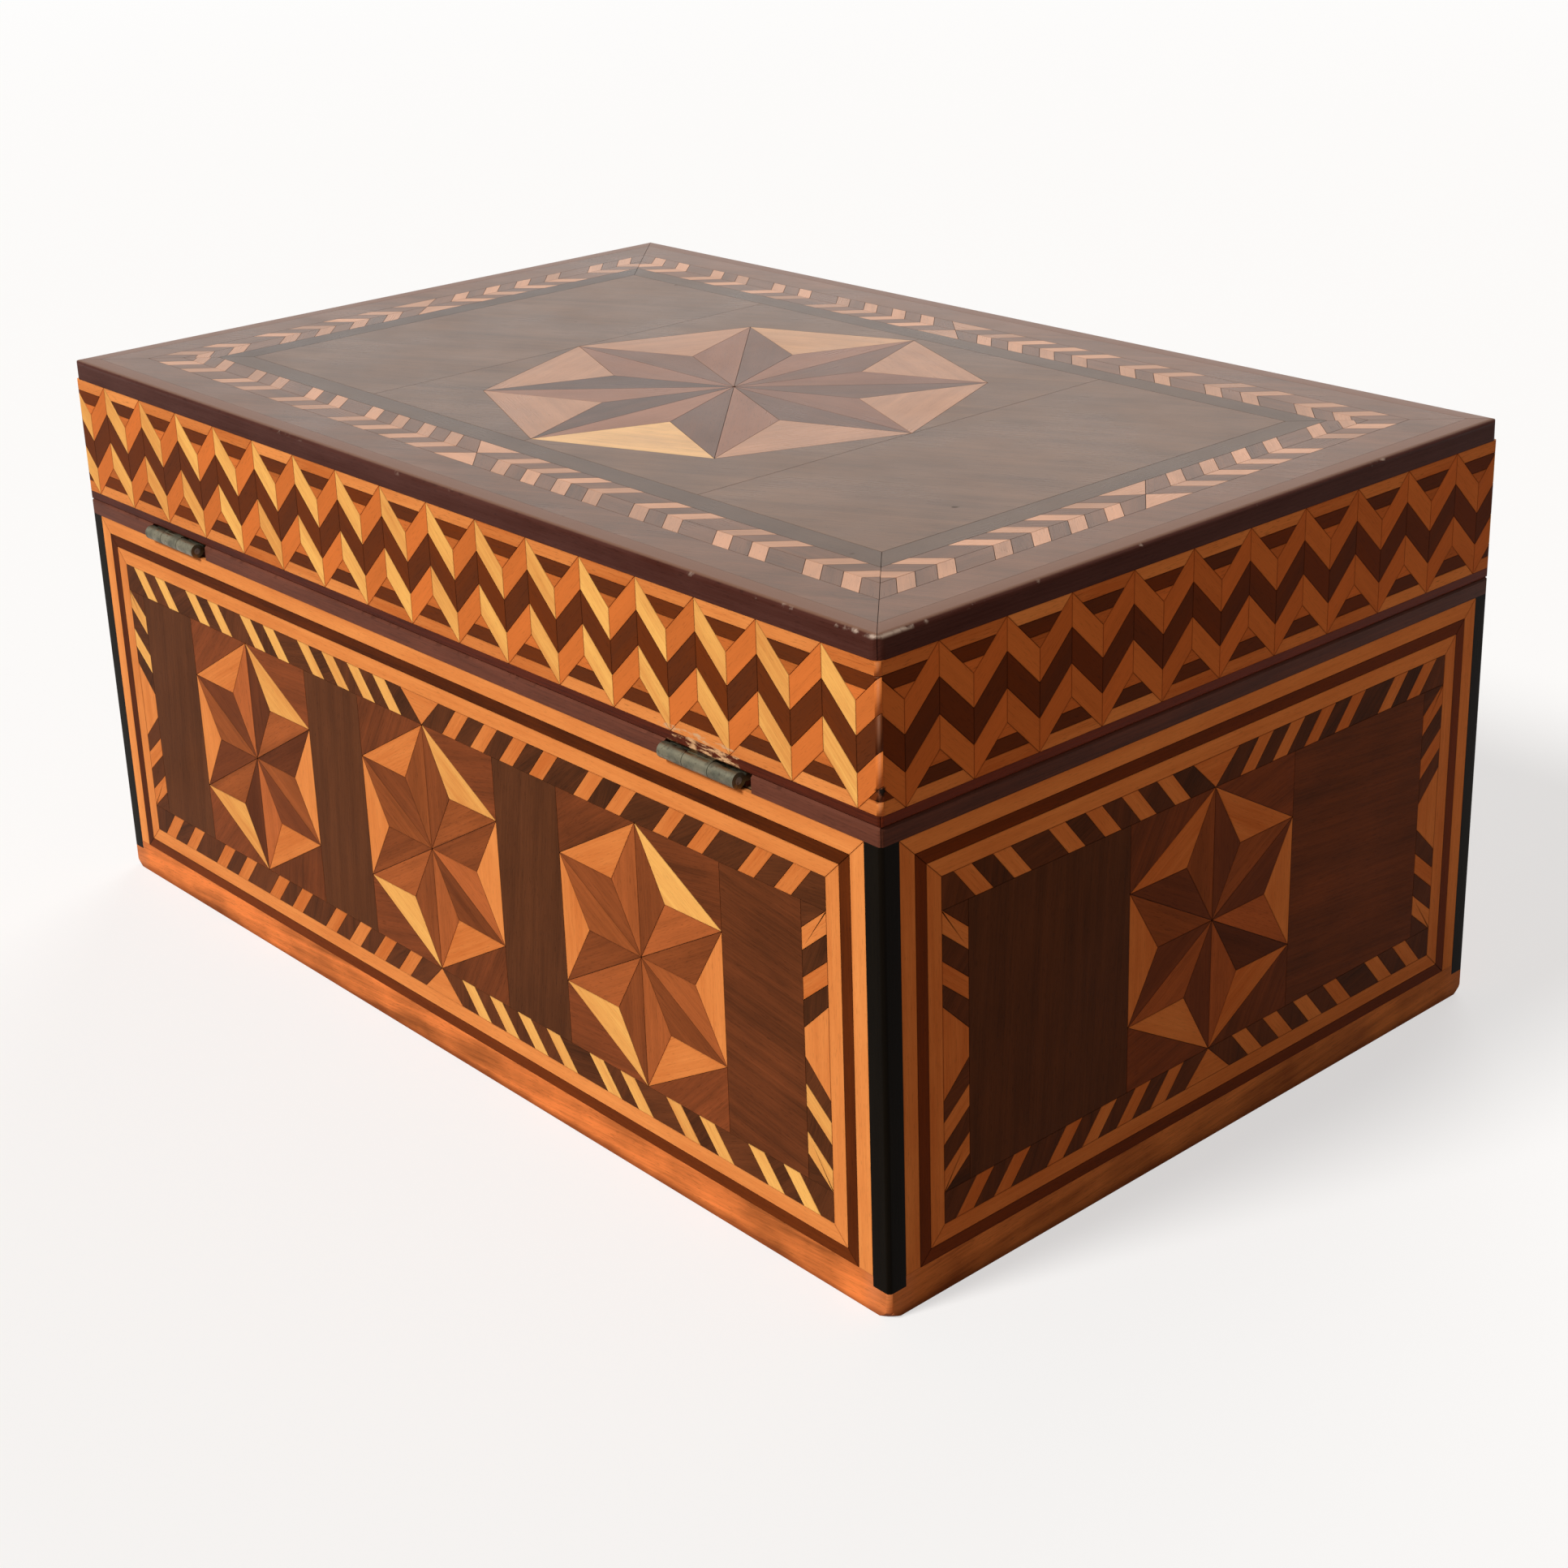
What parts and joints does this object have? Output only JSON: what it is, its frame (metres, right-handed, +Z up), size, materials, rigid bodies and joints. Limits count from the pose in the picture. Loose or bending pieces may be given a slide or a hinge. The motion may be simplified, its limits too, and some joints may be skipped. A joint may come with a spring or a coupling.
{
  "type": "marquetry box",
  "caption": "Rectangular wooden work box with a hinged lid, veneered all over in geometric marquetry: stars in octagon and hexagons, toothed borders and a zigzag lid band",
  "frame": {"origin": "middle of the foot, on the surface the box stands on", "axes": "+X along the length, +Y to the hinged back, +Z up; the lock is on the -Y front"},
  "size_m": [0.3, 0.1953, 0.1437],
  "materials": {
    "case_wood": "dry, unpolished",
    "cross_banding": "polished, cut across the grain",
    "black_string": "polished black",
    "rim_wood": "polished dark",
    "lip_wood": "polished red brown",
    "moulding_wood": "polished dark, worn along the edges",
    "light_line": "polished",
    "dark_line": "polished",
    "ground_wood": "polished",
    "light_inlay": "polished",
    "brown_inlay": "polished",
    "dark_inlay": "polished",
    "band_light": "polished",
    "band_dark": "polished",
    "band_block": "polished",
    "band_amber": "polished",
    "band_strip": "polished",
    "top_ground_wood": "polished, hazed",
    "top_frame_wood": "polished, hazed",
    "chevron_light": "polished, hazed",
    "chevron_ground": "polished, hazed",
    "top_light": "polished, hazed",
    "top_brown": "polished, hazed",
    "top_dark": "polished, hazed",
    "hinge_brass": "aged, dull",
    "pin_steel": "bright drawn",
    "screw_brass": "aged",
    "lock_brass": "aged, satin"
  },
  "bodies": {
    "box": {"back_board": "case_wood", "front_board": "case_wood", "left_board": "case_wood", "right_board": "case_wood", "bottom_board": "case_wood", "foot_banding": "cross_banding", "corner_strings": "black_string", "base_rim": "rim_wood", "border_light_lines": "light_line", "border_dark_lines": "dark_line", "back_ground": "ground_wood", "back_light_inlay": "light_inlay", "back_brown_inlay": "brown_inlay", "back_dark_inlay": "dark_inlay", "front_ground": "ground_wood", "front_light_inlay": "light_inlay", "front_brown_inlay": "brown_inlay", "front_dark_inlay": "dark_inlay", "left_ground": "ground_wood", "left_light_inlay": "light_inlay", "left_brown_inlay": "brown_inlay", "left_dark_inlay": "dark_inlay", "right_ground": "ground_wood", "right_light_inlay": "light_inlay", "right_brown_inlay": "brown_inlay", "right_dark_inlay": "dark_inlay", "hinge_box_leaves": "hinge_brass", "hinge_pins": "pin_steel", "hinge_box_screws": "screw_brass", "lock_case": "lock_brass", "lock_screws": "screw_brass", "escutcheon": "lock_brass"},
    "lid": {"lid_back_rail": "case_wood", "lid_front_rail": "case_wood", "lid_left_rail": "case_wood", "lid_right_rail": "case_wood", "lid_board": "case_wood", "lid_lip": "lip_wood", "lid_moulding": "moulding_wood", "band_light_arms": "band_light", "band_dark_arms": "band_dark", "band_dark_blocks": "band_block", "band_amber_tips": "band_amber", "band_light_strips": "band_strip", "top_ground": "top_ground_wood", "top_frame": "top_frame_wood", "top_chevrons": "chevron_light", "top_chevron_ground": "chevron_ground", "top_star_light": "top_light", "top_star_brown": "top_brown", "top_star_dark": "top_dark", "hinge_lid_leaves": "hinge_brass", "hinge_lid_screws": "screw_brass", "link_plate": "lock_brass", "link_plate_screws": "screw_brass"},
    "lock_bolt": {"lock_bolt": "pin_steel"}
  },
  "joints": [
    {"name": "lid_hinge", "type": "hinge", "parent": "box", "child": "lid", "pos_m": [0, 0.097, 0.10415], "axis": [-1, 0, 0], "range_deg": [0, 180]},
    {"name": "lock_bolt_slide", "type": "slide", "parent": "box", "child": "lock_bolt", "axis": [1, 0, 0], "range_m": [0, 0.0045]}
  ]
}
